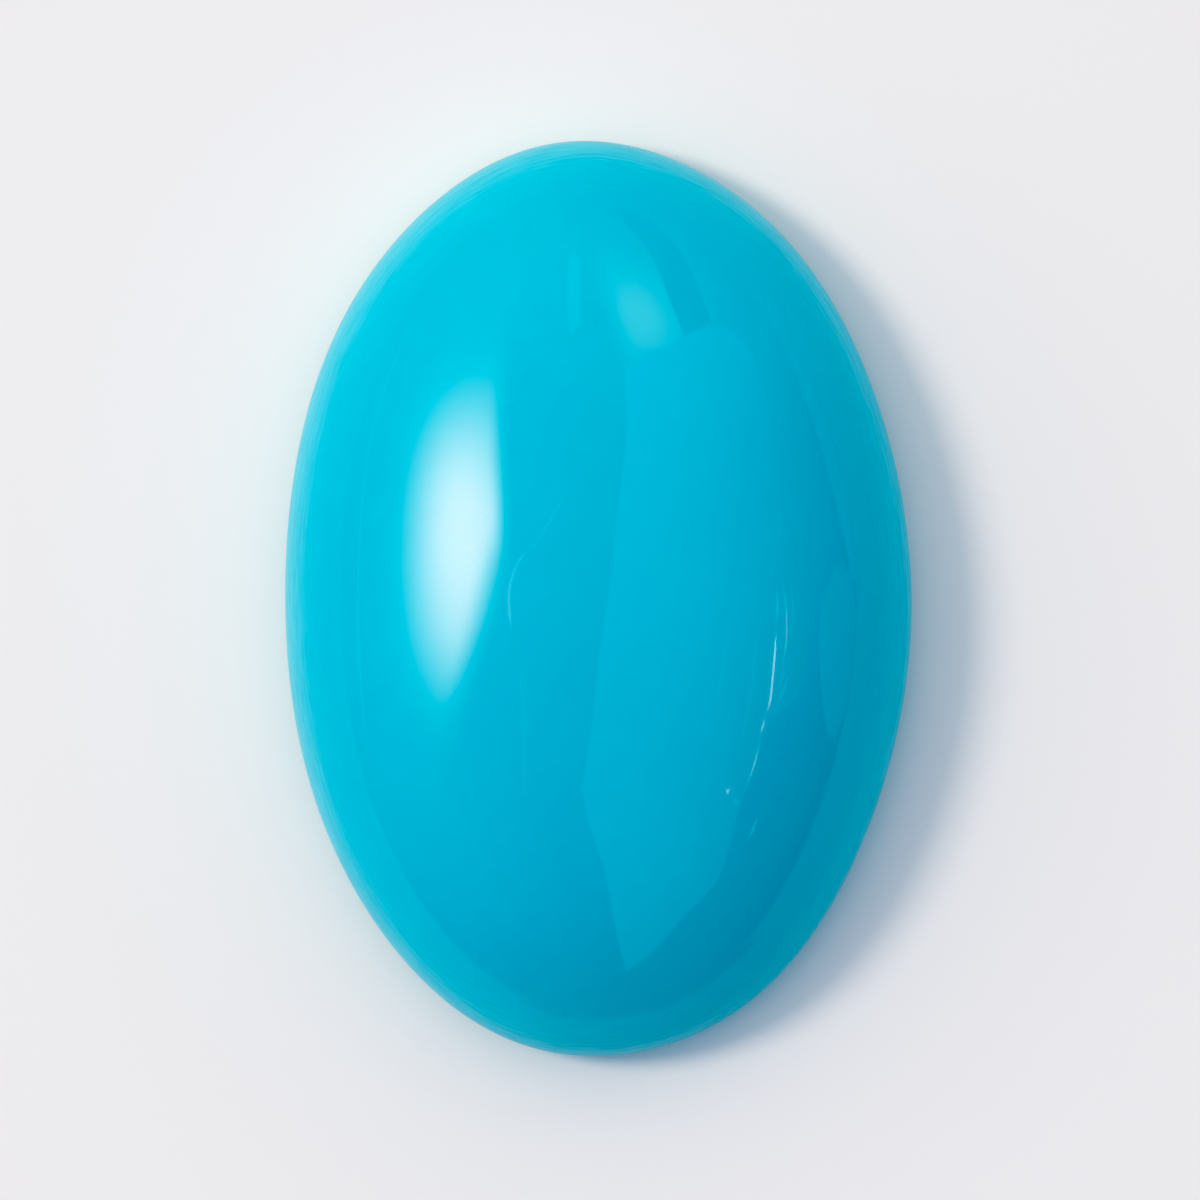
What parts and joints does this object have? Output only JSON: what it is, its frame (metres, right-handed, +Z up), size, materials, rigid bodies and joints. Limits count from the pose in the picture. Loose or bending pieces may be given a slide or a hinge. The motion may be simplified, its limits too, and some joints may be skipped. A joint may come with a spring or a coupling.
{
  "type": "polished turquoise cabochon",
  "caption": "Loose oval turquoise cabochon with a high polished dome, a rolled girdle and a bevelled flat back.",
  "frame": {"origin": "centre of the flat back's outline box, on the face that the stone lies on", "axes": "+Z up through the crown of the dome, +Y along the length of the oval, +X across its width"},
  "size_m": [0.0124, 0.018, 0.005],
  "materials": {
    "turquoise": "polished"
  },
  "bodies": {
    "root": {"cabochon": "turquoise"}
  },
  "joints": []
}
